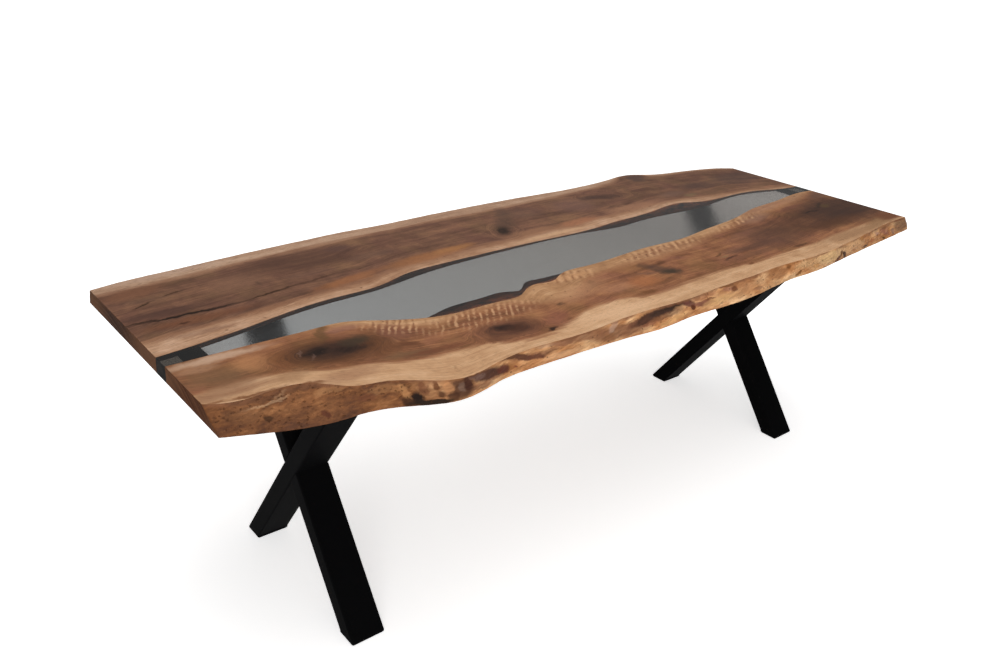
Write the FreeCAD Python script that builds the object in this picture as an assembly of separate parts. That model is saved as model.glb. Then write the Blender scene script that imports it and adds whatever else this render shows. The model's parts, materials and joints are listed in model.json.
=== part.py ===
import FreeCAD, Part
import math
import os

# Live edge river dining table: two waney-edged hardwood slabs joined by a cast resin river,
# stiffened by two steel channels let into the underside, and carried on two X frames of
# rectangular steel tube.
#
# Millimetres.  X runs along the table, Y from the front edge to the back edge, Z up.
# The origin is on the floor under the middle of the top's outline.

V = FreeCAD.Vector
os.makedirs("parts", exist_ok=True)

# ---- top -----------------------------------------------------------------------------
table_length = 2374.0
table_height = 760.0
slab_thickness = 38.0
front_reach = 440.0          # river's middle line to the front slab's mean outer edge
back_reach = 445.0           # river's middle line to the back slab's mean outer edge
front_bank_reach = 110.0     # river's middle line to the front slab's mean bank
back_bank_reach = 85.0       # river's middle line to the back slab's mean bank
edge_bulge = 3.0             # how far a waney edge swells at half thickness

# ---- end channels --------------------------------------------------------------------
channel_inset = 73.0         # table end to the channel's middle
channel_length = 600.0
channel_width = 50.0
channel_height = 12.0
channel_wall = 3.0
channel_play = 0.3           # routed groove to the channel's flange, each side
channel_recess = 0.5         # flange tips below the slab's underside
channel_bolt_rows = (150.0, 250.0)

# ---- X frames ------------------------------------------------------------------------
frame_inset = 349.0          # table end to the frame's middle
tube_width = 90.0            # along the table
tube_depth = 50.0            # across the leg, in the frame's plane
tube_wall = 3.0
tube_corner = 4.0
foot_spread = 520.0          # between the legs' centre lines at the floor
crossing_height = 354.0      # floor to the crossing of the centre lines

foot_plate_thickness = 4.0
foot_pad_thickness = 3.0
foot_pad_inset = 2.0

mount_plate_length = 190.0
mount_plate_width = 120.0
mount_plate_thickness = 8.0
mount_plate_corner = 10.0
mount_bolt_edge_x = 22.0     # plate end to the slot's middle
mount_bolt_edge_y = 25.0     # plate side to the slot's middle

# ---- fasteners -----------------------------------------------------------------------
slot_play = 0.5              # bolt to slot, each side
slot_travel = 8.0            # room for the wood to move across its grain
thread_play = 0.1            # bolt to insert, and insert to wood, radially
hole_run_out = 2.0           # blind hole past the end of what it holds

frame_bolt = {"size": 8.0, "length": 25.0, "head": 14.0, "head_height": 4.4, "socket": 5.0,
              "washer": 20.0, "washer_thickness": 1.6,
              "insert": 12.0, "insert_length": 16.0, "collar": 15.0, "collar_height": 1.5}
channel_bolt = {"size": 6.0, "length": 16.0, "head": 10.5, "head_height": 3.3, "socket": 4.0,
                "washer": 14.0, "washer_thickness": 1.2,
                "insert": 10.0, "insert_length": 12.0, "collar": 12.5, "collar_height": 1.2}

# ---- waney outlines ------------------------------------------------------------------
# Each row is a station along the table (-1 left end, +1 right end) and how far the edge
# stands outside its mean reach there, at the top face and at the underside.
FRONT_EDGE = [(-1.00, -154, -82), (-0.92, -127, -43), (-0.82, -111, -13), (-0.78, -66, -12),
              (-0.716, -41, 7), (-0.63, 23, 49), (-0.52, 15, 29), (-0.42, 3, 22),
              (-0.29, 8, 23), (-0.19, -2, 28), (-0.11, -3, 36), (0.00, 3, 27),
              (0.11, -6, 31), (0.24, -11, 24), (0.37, -18, 7), (0.47, -13, 7),
              (0.59, -20, -8), (0.76, -48, -30), (0.885, -70, -45), (1.00, -78, -61)]
BACK_EDGE = [(-1.00, -72, -55), (-0.93, -54, -32), (-0.81, -40, -26), (-0.665, -22, -4),
             (-0.51, -8, 6), (-0.40, 0, 18), (-0.29, -1, 14), (-0.17, 7, 17), (0.00, 13, 30),
             (0.17, 13, 25), (0.32, 6, 15), (0.44, 12, 24), (0.54, 28, 36), (0.595, 39, 44),
             (0.636, 34, 40), (0.69, 2, 16), (0.77, -20, -2), (0.885, -41, -28),
             (0.96, -68, -50), (1.00, -95, -78)]
FRONT_BANK = [(-1.00, -9, -10), (-0.86, -10, -12), (-0.716, -10, -13), (-0.66, -7, -9),
              (-0.59, 34, 28), (-0.507, 78, 52), (-0.45, 89, 32), (-0.34, 90, 24),
              (-0.285, 86, 26), (-0.255, 64, 38), (-0.22, 51, 8), (-0.175, 57, 4),
              (-0.13, 30, 6), (-0.06, 22, 12), (0.04, 17, 13), (0.16, 4, 1), (0.31, 4, 1),
              (0.40, -14, -15), (0.52, -33, -44), (0.60, -54, -66), (0.67, -77, -80),
              (0.80, -93, -95), (0.91, -113, -111), (1.00, -110, -110)]
BACK_BANK = [(-1.00, -139, -135), (-0.885, -118, -113), (-0.80, -97, -91), (-0.716, -73, -69),
             (-0.59, -55, -51), (-0.51, -49, -45), (-0.424, -15, -25), (-0.34, -2, -7),
             (-0.215, 2, 6), (0.00, 3, 15), (0.16, 4, 6), (0.25, 18, -5), (0.33, 23, 3),
             (0.415, 36, 5), (0.47, 48, 2), (0.535, 52, -1), (0.59, 30, 1), (0.71, 21, 22),
             (0.84, 14, 17), (0.90, -7, -1), (1.00, -25, -21)]

# ---- derived -------------------------------------------------------------------------
half_length = table_length / 2
underside = table_height - slab_thickness
leg_bottom = foot_pad_thickness + foot_plate_thickness
leg_top = underside - mount_plate_thickness
leg_tilt = math.degrees(math.atan2(foot_spread / 2, crossing_height))
leg_slope = math.tan(math.radians(leg_tilt))
leg_cut = tube_depth / math.cos(math.radians(leg_tilt))
groove_width = channel_width + 2 * channel_play
groove_depth = channel_height + channel_recess
groove_floor = underside + groove_depth
SIDES = {"left": -1, "right": 1}
FRONT, BACK = -1, 1


def leg_offset(z):
    """How far a leg's centre line stands from the frame's middle at height z."""
    return abs(crossing_height - z) * leg_slope


def save(name, shape):
    shape.exportStep("parts/" + name + ".step")


def block(size_x, size_y, size_z, x, y, z):
    """Box centred on x, y with its base at z."""
    return Part.makeBox(size_x, size_y, size_z, V(x - size_x / 2, y - size_y / 2, z))


def rounded_plate(size_x, size_y, thickness, corner, x, y, z):
    """Flat plate with rounded vertical corners."""
    plate = block(size_x, size_y, thickness, x, y, z)
    upright = [e for e in plate.Edges if abs(e.Vertexes[0].Z - e.Vertexes[1].Z) > thickness / 2]
    return plate.makeFillet(corner, upright)


# ---- waney slabs and the river between them ------------------------------------------
# Every long edge is one spline through its stations, drawn at three levels of the
# thickness.  Slab and river are lofted from the same splines, so each bank is one surface.
LEVELS = (0.0, 0.5, 1.0)


def long_edge(stations, reach, side, level, bulge):
    """Spline along the table at one level: 0 is the top face, 1 the underside."""
    swell = bulge * 4 * level * (1 - level)
    z = table_height - level * slab_thickness
    points = []
    for place, at_top, at_underside in stations:
        out = reach + at_top + (at_underside - at_top) * level + swell
        points.append(V(place * half_length, side * out, z))
    spline = Part.BSplineCurve()
    spline.interpolate(Points=points, Parameters=[row[0] + 1 for row in stations])
    return spline.toShape()


def section(edge_a, edge_b):
    """Closed outline: two long edges joined by straight lines at the table's ends."""
    ends = [Part.makeLine(edge_a.valueAt(end), edge_b.valueAt(end)) for end in (0, 2)]
    return Part.Wire(Part.__sortEdges__([edge_a, ends[1], edge_b, ends[0]]))


def lofted(rim_a, rim_b):
    """Solid between two waney rims, each given as (stations, reach, side, bulge)."""
    sections = []
    for level in LEVELS:
        edges = [long_edge(rim[0], rim[1], rim[2], level, rim[3]) for rim in (rim_a, rim_b)]
        sections.append(section(*edges))
    return Part.makeLoft(sections, True, False)


front_edge = (FRONT_EDGE, front_reach, FRONT, edge_bulge)
back_edge = (BACK_EDGE, back_reach, BACK, edge_bulge)
front_bank = (FRONT_BANK, front_bank_reach, FRONT, 0.0)
back_bank = (BACK_BANK, back_bank_reach, BACK, 0.0)

front_slab = lofted(front_edge, front_bank)
back_slab = lofted(back_edge, back_bank)
river_resin = lofted(front_bank, back_bank)


# ---- threaded inserts and button-head bolts ------------------------------------------
def insert(bolt, x, y, z):
    """Threaded insert sunk upwards from z, its collar flush with the wood."""
    body = Part.makeCylinder(bolt["insert"] / 2, bolt["insert_length"], V(x, y, z))
    lead = body.Edges[0] if body.Edges[0].BoundBox.ZMin > z else body.Edges[2]
    body = body.makeChamfer(bolt["collar_height"], [lead])
    collar = Part.makeCylinder(bolt["collar"] / 2, bolt["collar_height"], V(x, y, z))
    bore = Part.makeCylinder(bolt["size"] / 2 + thread_play, bolt["insert_length"], V(x, y, z))
    return body.fuse(collar).cut(bore)


def insert_hole(bolt, x, y, z):
    """Stepped blind hole that takes the insert."""
    depth = bolt["insert_length"] + hole_run_out
    hole = Part.makeCylinder(bolt["insert"] / 2 + thread_play, depth, V(x, y, z))
    rebate = Part.makeCylinder(bolt["collar"] / 2 + thread_play, bolt["collar_height"], V(x, y, z))
    return hole.fuse(rebate)


def washer(bolt, x, y, z):
    """Flat washer hanging below z."""
    base = V(x, y, z - bolt["washer_thickness"])
    disc = Part.makeCylinder(bolt["washer"] / 2, bolt["washer_thickness"], base)
    return disc.cut(Part.makeCylinder(bolt["size"] / 2 + slot_play, bolt["washer_thickness"], base))


def button_bolt(bolt, x, y, z):
    """Button-head socket bolt driven upwards; z is the underside of what it clamps."""
    seat = z - bolt["washer_thickness"]
    shank = Part.makeCylinder(bolt["size"] / 2, bolt["length"], V(x, y, seat))
    head = Part.makeCylinder(bolt["head"] / 2, bolt["head_height"], V(x, y, seat - bolt["head_height"]))
    crown = [e for e in head.Edges if e.BoundBox.ZMax < seat - bolt["head_height"] / 2]
    head = head.makeFillet(bolt["head_height"] * 0.6, crown)
    across = bolt["socket"] / math.sqrt(3)
    corners = [V(x + across * math.cos(math.radians(60 * i)), y + across * math.sin(math.radians(60 * i)),
                 seat - bolt["head_height"]) for i in range(7)]
    socket = Part.Face(Part.makePolygon(corners)).extrude(V(0, 0, bolt["head_height"] * 0.6))
    return shank.fuse(head).cut(socket)


def slot(bolt, thickness, x, y, z):
    """Slot cutter, long across the grain."""
    radius = bolt["size"] / 2 + slot_play
    cutter = block(2 * radius, slot_travel, thickness, x, y, z)
    for end in (-1, 1):
        cutter = cutter.fuse(Part.makeCylinder(radius, thickness, V(x, y + end * slot_travel / 2, z)))
    return cutter


# ---- end channels --------------------------------------------------------------------
def channel_holes(side):
    x = SIDES[side] * (half_length - channel_inset)
    return [(x, face * row) for face in (FRONT, BACK) for row in channel_bolt_rows]


def channel_groove(side):
    x = SIDES[side] * (half_length - channel_inset)
    return block(groove_width, channel_length + 2 * channel_play, groove_depth, x, 0, underside)


def end_channel(side):
    """Steel channel, web against the groove's floor and flanges down."""
    x = SIDES[side] * (half_length - channel_inset)
    base = groove_floor - channel_height
    bar = block(channel_width, channel_length, channel_height, x, 0, base)
    hollow = channel_height - channel_wall
    bar = bar.cut(block(channel_width - 2 * channel_wall, channel_length, hollow, x, 0, base))
    for hole_x, hole_y in channel_holes(side):
        bar = bar.cut(slot(channel_bolt, channel_wall, hole_x, hole_y, groove_floor - channel_wall))
    return bar


# ---- X frames ------------------------------------------------------------------------
def frame_x(side):
    return SIDES[side] * (half_length - frame_inset)


def leg_bar(side, lean, width, depth, corner):
    """Long bar on a leg's centre line; lean +1 has its foot at the back."""
    reach = table_height
    bar = block(width, depth, 2 * reach, 0, 0, -reach)
    if corner > 0:
        bar = bar.makeFillet(corner, [e for e in bar.Edges if e.Length > reach])
    bar.rotate(V(0, 0, 0), V(1, 0, 0), lean * leg_tilt)
    bar.translate(V(frame_x(side), 0, crossing_height))
    return bar


def leg_tube(side, lean):
    """Rectangular tube on a leg's centre line, sawn level at the floor and at the top."""
    inner_corner = tube_corner - tube_wall
    outer = leg_bar(side, lean, tube_width, tube_depth, tube_corner)
    inner = leg_bar(side, lean, tube_width - 2 * tube_wall, tube_depth - 2 * tube_wall, inner_corner)
    span = 2 * (foot_spread + tube_depth)
    between_saw_cuts = block(2 * tube_width, span, leg_top - leg_bottom, frame_x(side), 0, leg_bottom)
    return outer.cut(inner).common(between_saw_cuts)


def x_frame_legs(side):
    """One tube runs through; the other is two lengths mitred against its faces."""
    through = leg_tube(side, 1)
    saw = leg_bar(side, 1, 2 * tube_width, tube_depth, 0)
    halves = sorted(leg_tube(side, -1).cut(saw).Solids, key=lambda s: s.CenterOfMass.z)
    return through, halves[0], halves[1]


def foot_place(face):
    return face * leg_offset(leg_bottom)


def foot_plate(side, face):
    """Plate that closes the foot of a leg, flush with the tube all round."""
    return rounded_plate(tube_width, leg_cut, foot_plate_thickness, tube_corner,
                         frame_x(side), foot_place(face), foot_pad_thickness)


def foot_pad(side, face):
    """Rubber pad under the foot plate."""
    return rounded_plate(tube_width - 2 * foot_pad_inset, leg_cut - 2 * foot_pad_inset,
                         foot_pad_thickness, tube_corner, frame_x(side), foot_place(face), 0)


def mount_holes(side, face):
    x, y = frame_x(side), face * leg_offset(leg_top)
    reach_x = mount_plate_length / 2 - mount_bolt_edge_x
    reach_y = mount_plate_width / 2 - mount_bolt_edge_y
    return [(x + i * reach_x, y + j * reach_y) for i in (-1, 1) for j in (-1, 1)]


def mount_plate(side, face):
    """Plate welded to the top of a leg and bolted up under a slab."""
    plate = rounded_plate(mount_plate_length, mount_plate_width, mount_plate_thickness,
                          mount_plate_corner, frame_x(side), face * leg_offset(leg_top), leg_top)
    for x, y in mount_holes(side, face):
        plate = plate.cut(slot(frame_bolt, mount_plate_thickness, x, y, leg_top))
    return plate


def group(maker, bolt, holes, z):
    """Identical fasteners, one separate solid at each hole."""
    return Part.makeCompound([maker(bolt, x, y, z) for x, y in holes])


# ---- assembly ------------------------------------------------------------------------
FACES = {"front": FRONT, "back": BACK}
slabs = {"front": front_slab, "back": back_slab}
nodes = {}

for side in SIDES:
    groove = channel_groove(side)
    river_resin = river_resin.cut(groove)
    for name, face in FACES.items():
        cuts = [groove]
        cuts += [insert_hole(channel_bolt, x, y, groove_floor)
                 for x, y in channel_holes(side) if y * face > 0]
        cuts += [insert_hole(frame_bolt, x, y, underside) for x, y in mount_holes(side, face)]
        slabs[name] = slabs[name].cut(cuts)

    nodes[side + "_end_channel"] = end_channel(side)
    holes = channel_holes(side)
    web_underside = groove_floor - channel_wall
    nodes[side + "_channel_inserts"] = group(insert, channel_bolt, holes, groove_floor)
    nodes[side + "_channel_washers"] = group(washer, channel_bolt, holes, web_underside)
    nodes[side + "_channel_bolts"] = group(button_bolt, channel_bolt, holes, web_underside)

    through_leg, lower_leg, upper_leg = x_frame_legs(side)
    nodes[side + "_frame_through_leg"] = through_leg
    nodes[side + "_frame_lower_leg"] = lower_leg
    nodes[side + "_frame_upper_leg"] = upper_leg
    for name, face in FACES.items():
        nodes[side + "_" + name + "_mount_plate"] = mount_plate(side, face)
        nodes[side + "_" + name + "_foot_plate"] = foot_plate(side, face)
        nodes[side + "_" + name + "_foot_pad"] = foot_pad(side, face)
    holes = mount_holes(side, FRONT) + mount_holes(side, BACK)
    nodes[side + "_frame_inserts"] = group(insert, frame_bolt, holes, underside)
    nodes[side + "_frame_washers"] = group(washer, frame_bolt, holes, leg_top)
    nodes[side + "_frame_bolts"] = group(button_bolt, frame_bolt, holes, leg_top)

nodes["front_slab"] = slabs["front"]
nodes["back_slab"] = slabs["back"]
nodes["river_resin"] = river_resin

# The origin lies under the middle of the top's outline, which the waney edges decide.
slab_boxes = [slabs[name].optimalBoundingBox(False) for name in ("front", "back")]
outline_middle = (slab_boxes[0].YMin + slab_boxes[1].YMax) / 2
for name, shape in nodes.items():
    shape.translate(V(0, -outline_middle, 0))
    save(name, shape)
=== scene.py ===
# %% [markdown]
# # A live edge river dining table
#
# Two walnut boards keep the wavy edges of the tree. Smoke-grey resin fills the gap between
# them, and two X frames of black steel tube carry the top. The steel, plates, bolts and pads
# come in finished from the CAD frame and only need a surface. The boards and the resin are
# modelled again here, because their rough edges are the whole look of such a table.

# %% Load the frame
import json
import math
import bpy
from mathutils import Matrix, Vector


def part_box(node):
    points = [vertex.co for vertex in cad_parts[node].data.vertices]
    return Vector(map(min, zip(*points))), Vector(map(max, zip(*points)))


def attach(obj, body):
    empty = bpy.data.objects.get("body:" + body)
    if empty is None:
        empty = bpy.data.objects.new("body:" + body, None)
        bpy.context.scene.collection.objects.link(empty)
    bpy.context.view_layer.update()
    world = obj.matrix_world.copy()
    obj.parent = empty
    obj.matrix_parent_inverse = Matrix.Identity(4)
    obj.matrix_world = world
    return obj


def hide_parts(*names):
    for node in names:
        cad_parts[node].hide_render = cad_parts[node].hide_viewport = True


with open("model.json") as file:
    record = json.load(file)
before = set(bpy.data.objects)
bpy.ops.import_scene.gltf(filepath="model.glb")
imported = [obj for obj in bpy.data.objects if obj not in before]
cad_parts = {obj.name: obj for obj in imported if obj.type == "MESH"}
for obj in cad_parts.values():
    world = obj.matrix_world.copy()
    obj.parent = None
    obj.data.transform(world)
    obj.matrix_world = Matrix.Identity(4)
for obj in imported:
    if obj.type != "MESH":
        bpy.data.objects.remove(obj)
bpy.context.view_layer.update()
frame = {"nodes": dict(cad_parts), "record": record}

# %% [markdown]
# ## Camera
#
# The table is looked at from above its front left corner, two and a half metres away, with the
# camera tipped slightly to one side. Its pose is written the way a photographer would say it:
# a place, a heading, a dip below the horizon and a roll. A 33 mm lens on a full-frame camera
# gives the strong perspective of a small studio.

# %% Camera
SENSOR_MM = 36
LENS_MM = 32.923
FAR_CLIP = 2000                     # metres, past the far rim of the floor
camera_place = Vector((-1.7166, -1.7638, 1.6135))
heading, dip, roll = 0.6991, 0.4315, 0.0521         # radians

forward = Vector((math.sin(heading) * math.cos(dip), math.cos(heading) * math.cos(dip), -math.sin(dip)))
level_right = Vector((math.cos(heading), -math.sin(heading), 0))
level_up = level_right.cross(forward)
right = level_right * math.cos(roll) + level_up * math.sin(roll)
up = level_up * math.cos(roll) - level_right * math.sin(roll)
turn = Matrix((right, up, -forward)).transposed().to_4x4()

camera_data = bpy.data.cameras.new("camera")
camera_data.sensor_width = SENSOR_MM
camera_data.lens = LENS_MM
camera_data.clip_end = FAR_CLIP
camera = bpy.data.objects.new("camera", camera_data)
camera.matrix_world = Matrix.Translation(camera_place) @ turn
bpy.context.scene.collection.objects.link(camera)
bpy.context.scene.camera = camera
bpy.context.scene.view_settings.view_transform = "Standard"
print("camera at", tuple(round(v, 2) for v in camera_place))

# %% [markdown]
# ## Nodes in one call
#
# A material is a small network. One helper adds a node, sets its properties and fills its
# inputs, each with a value or with another node's output, so a network reads from top to
# bottom. An input is named by its number where a node has several of the same name: on Mix, 0
# is the share, 2 and 3 are its two numbers, and 6 and 7 its two colours. Colours are written as
# the sRGB hex values a painter would pick, and turned to the linear values the shader works in.

# %% Helpers for materials
OVERLAY = {"give": 2, "data_type": "RGBA"}      # a Mix node of colours; its output 2 is a colour


def linear(code):
    """Linear colour from an sRGB hex value such as '#6d4c3c'."""
    parts = [int(code[i:i + 2], 16) / 255 for i in (1, 3, 5)]
    return tuple(p / 12.92 if p <= 0.04045 else ((p + 0.055) / 1.055) ** 2.4 for p in parts) + (1,)


def node(tree, kind, wires, give=0, stops=(), points=(), **settings):
    """Add a node and return one of its outputs.

    wires fills inputs with values, hex colours or other outputs; stops fill a colour ramp, the
    first two at its ends; points fill a curve in the same way.
    """
    made = tree.nodes.new("ShaderNode" + kind)
    for name, value in settings.items():
        setattr(made, name, value)
    for name, value in wires.items():
        if isinstance(value, bpy.types.NodeSocket):
            tree.links.new(value, made.inputs[name])
        else:
            made.inputs[name].default_value = linear(value) if isinstance(value, str) else value
    for i, (place, code) in enumerate(stops):
        ramp = made.color_ramp.elements
        stop = ramp[i] if i < 2 else ramp.new(place)
        stop.position, stop.color = place, linear(code)
    for i, place in enumerate(points):
        curve = made.mapping.curves[0].points
        if i < 2:
            curve[i].location = place
        else:
            curve.new(*place)
    if points:
        made.mapping.update()
    return made.outputs[give] if len(made.outputs) else made


def new_material(name, **settings):
    """A Principled shader wired to an output, with its constant sockets set."""
    material = bpy.data.materials.new(name)
    material.use_nodes = True
    tree = material.node_tree
    tree.nodes.clear()
    shader = node(tree, "BsdfPrincipled", {k.replace("_", " "): v for k, v in settings.items()}).node
    node(tree, "OutputMaterial", {"Surface": shader.outputs[0]})
    return material, tree, shader


print("sRGB mid grey is", round(linear("#808080")[0], 3), "in linear light")

# %% [markdown]
# ## Walnut, step one: where a point lies in the board
#
# The growth rings run along a board and follow its waney edges. A UV map named grain carries
# that: U is metres along the table and V runs from the outer edge, 0, to the river bank, 1.
# A slow noise bends the rings, and each knot swaps them for its own ovals, because the trunk
# grew round the branch.

# %% Rings that bend and go round knots
MM = 0.001                          # one millimetre in metres, the unit of the whole script
BOARD_WIDTH = 360 * MM              # from outer edge to bank, on average
RING_SWAY = 100 * MM                # how far the slow noise moves a ring
KNOT_RINGS = 55 * MM                # depth of rings in one knot radius


def centred_noise(tree, place, scale, detail):
    """Noise colour from -0.5 to 0.5, to push a pattern about."""
    noise = node(tree, "TexNoise", {"Vector": place, "Scale": scale, "Detail": detail, "Roughness": 0.6},
                 give=1)
    return node(tree, "VectorMath", {0: noise, 1: (.5, .5, .5)}, operation="SUBTRACT")


def soft_oval(tree, place, oval, inner=0.0, outer=1.0):
    """1 inside a tilted oval, fading to 0 at its rim.

    The oval is x, y, half length and half width in millimetres, and degrees.
    """
    x, y, rx, ry = (size * MM for size in oval[:4])
    tilt = math.radians(oval[4])
    cos, sin = math.cos(tilt), math.sin(tilt)
    away = node(tree, "VectorMath", {0: place, 1: (x, y, 0)}, operation="SUBTRACT")
    long = node(tree, "VectorMath", {0: away, 1: (cos / rx, sin / rx, 0)}, give=1, operation="DOT_PRODUCT")
    wide = node(tree, "VectorMath", {0: away, 1: (-sin / ry, cos / ry, 0)}, give=1, operation="DOT_PRODUCT")
    local = node(tree, "CombineXYZ", {0: long, 1: wide})
    reach = node(tree, "VectorMath", {0: local}, give=1, operation="LENGTH")
    inside = node(tree, "MapRange", {0: reach, 1: inner, 2: outer, 3: 1, 4: 0},
                  interpolation_type="SMOOTHSTEP")
    return inside, reach


def ring_coordinate(tree, place, across, board):
    """Metres across the grain, bent by slow noise and wrapped round the knots.

    Also returns, for each knot, how near a point is and how many knot sizes away.
    """
    slow = node(tree, "Mapping", {"Vector": place, "Scale": (1.8, 5.0, 0), "Location": (board["seed"], 0, 0)})
    bend = node(tree, "TexNoise", {"Vector": slow, "Scale": 1, "Detail": 3, "Roughness": 0.55})
    ring = node(tree, "Math", {0: across, 1: BOARD_WIDTH}, operation="MULTIPLY")
    ring = node(tree, "Math", {0: bend, 1: RING_SWAY, 2: ring}, operation="MULTIPLY_ADD")
    knots = [soft_oval(tree, place, knot, 0.7, 2.3) for knot in board["knots"]]
    for near, reach in knots:
        oval = node(tree, "Math", {0: reach, 1: KNOT_RINGS}, operation="MULTIPLY")
        ring = node(tree, "Mix", {0: near, 2: ring, 3: oval})
    return ring, knots


print("rings sway by up to", round(RING_SWAY / MM), "mm")

# %% [markdown]
# ## Walnut, step two: streaks
#
# Three widths of streak lie in the grain: blurred bands about 50 mm wide, growth rings about
# 12 mm and fine lines about 3 mm. All are noise stretched along the board. Noise keeps close
# to 0.5, so wherever it drives a colour, a Map Range or the stops of a ramp first spread that
# narrow middle out.

# %% Streaks
STREAKS = ((1.6, 20, 3), (3.0, 80, 3), (9, 330, 2))     # per metre along and across, and detail


def streaks(tree, x, ring, seed):
    """Bands, rings and lines as 0..1 noise, long in the grain."""
    made = []
    for along, across, detail in STREAKS:
        stretched = node(tree, "CombineXYZ", {
            0: node(tree, "Math", {0: x, 1: along}, operation="MULTIPLY"),
            1: node(tree, "Math", {0: ring, 1: across}, operation="MULTIPLY"), 2: seed})
        made.append(node(tree, "TexNoise", {"Vector": stretched, "Scale": 1, "Detail": detail,
                                            "Roughness": 0.62}))
    return made


print("streaks about", [round(1 / across / MM) for along, across, detail in STREAKS], "mm wide")

# %% [markdown]
# ## Walnut, step three: heartwood and sapwood
#
# Heartwood is purple-brown and sapwood is the colour of milky coffee. The boundary between them
# wanders, so a curve node holds it: place along the board goes in, distance from the table's
# middle comes out. Patches of the heartwood lean to olive or to pink, and the young wood next
# to the sapwood is orange.

# %% Heartwood and sapwood
SPAN_X, SPAN_Y = 1.2, 0.5           # half extents that the boundary curves cover, in metres
RAGGED = 10 * MM                    # how far the rings fray a boundary


def inside_line(tree, x, y, line, inward):
    """Metres from a wandering line along the board, positive on its inward side.

    The line is a list of x, y in millimetres.
    """
    unit = node(tree, "MapRange", {0: x, 1: -SPAN_X, 2: SPAN_X})
    marks = [((px * MM / SPAN_X + 1) / 2, (py * MM / SPAN_Y + 1) / 2) for px, py in line]
    curve = node(tree, "FloatCurve", {1: unit}, points=[marks[0], marks[-1]] + marks[1:-1])
    at = node(tree, "MapRange", {0: curve, 3: -SPAN_Y, 4: SPAN_Y})
    gap = node(tree, "Math", {0: y, 1: at}, operation="SUBTRACT")
    return node(tree, "Math", {0: gap, 1: inward}, operation="MULTIPLY")


def heart_and_sap(tree, board, x, y, swayed, tone, rings):
    """The plain wood colour, and how far a point is past the bank's sapwood, from 0 to 1."""
    woods = []
    for wood in ("heart", "sap", "bank_sap"):
        dark, mid, pale = board[wood]
        woods.append(node(tree, "ValToRGB", {0: tone}, stops=[(0.0, dark), (1.0, pale), (0.5, mid)]))
    heart, sap, bank_sap = woods

    side = 1 if board["outer_sap"][0][1] > 0 else -1
    fray = node(tree, "MapRange", {0: rings, 1: 0.3, 2: 0.7, 3: -RAGGED, 4: RAGGED})
    from_outer = inside_line(tree, x, y, board["outer_sap"], -side)
    from_outer = node(tree, "Math", {0: from_outer, 1: fray}, operation="ADD")
    from_bank = inside_line(tree, x, y, board["bank_line"], side)
    from_bank = node(tree, "Math", {0: from_bank, 1: fray}, operation="ADD")
    by_bank = node(tree, "MapRange", {0: from_bank, 1: -20 * MM, 2: 22 * MM},
                   interpolation_type="SMOOTHSTEP")
    by_outer = node(tree, "MapRange", {0: from_outer, 1: -board["rim_fade"], 2: board["rim_fade"]},
                    interpolation_type="SMOOTHSTEP")
    patchy = node(tree, "TexNoise", {"Vector": swayed, "Scale": 9, "Detail": 3, "Roughness": 0.6})
    olive = node(tree, "MapRange", {0: patchy, 1: 0.50, 2: 0.66, 4: 0.30})
    pinkish = node(tree, "MapRange", {0: patchy, 1: 0.48, 2: 0.34, 4: 0.30})
    heart = node(tree, "Mix", {0: olive, 6: heart, 7: board["olive"]}, **OVERLAY)
    heart = node(tree, "Mix", {0: pinkish, 6: heart, 7: board["pinkish"]}, **OVERLAY)
    colour = node(tree, "Mix", {0: by_bank, 6: bank_sap, 7: heart}, **OVERLAY)
    colour = node(tree, "Mix", {0: by_outer, 6: sap, 7: colour}, **OVERLAY)
    for share in (by_bank, by_outer):
        rest = node(tree, "Math", {0: 1, 1: share}, operation="SUBTRACT")
        young = node(tree, "Math", {0: share, 1: rest}, operation="MULTIPLY")
        young = node(tree, "Math", {0: young, 1: 1.8}, operation="MULTIPLY")
        colour = node(tree, "Mix", {0: young, 6: colour, 7: board["young"]}, **OVERLAY)
    return colour, by_bank


# %% [markdown]
# ## Walnut, step four: the two boards
#
# The boards come from one tree but differ. The front board has a large knot near its left end,
# a smaller one further along its outer edge, and curly figure beside the river, where the
# fibres rippled. The back board is quieter, with dark mineral streaks and a clouded knot.
# Stains are soft ovals: place and half sizes in millimetres, tilt, strength and colour. Curl is
# listed by the distance between its ripples.

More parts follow.
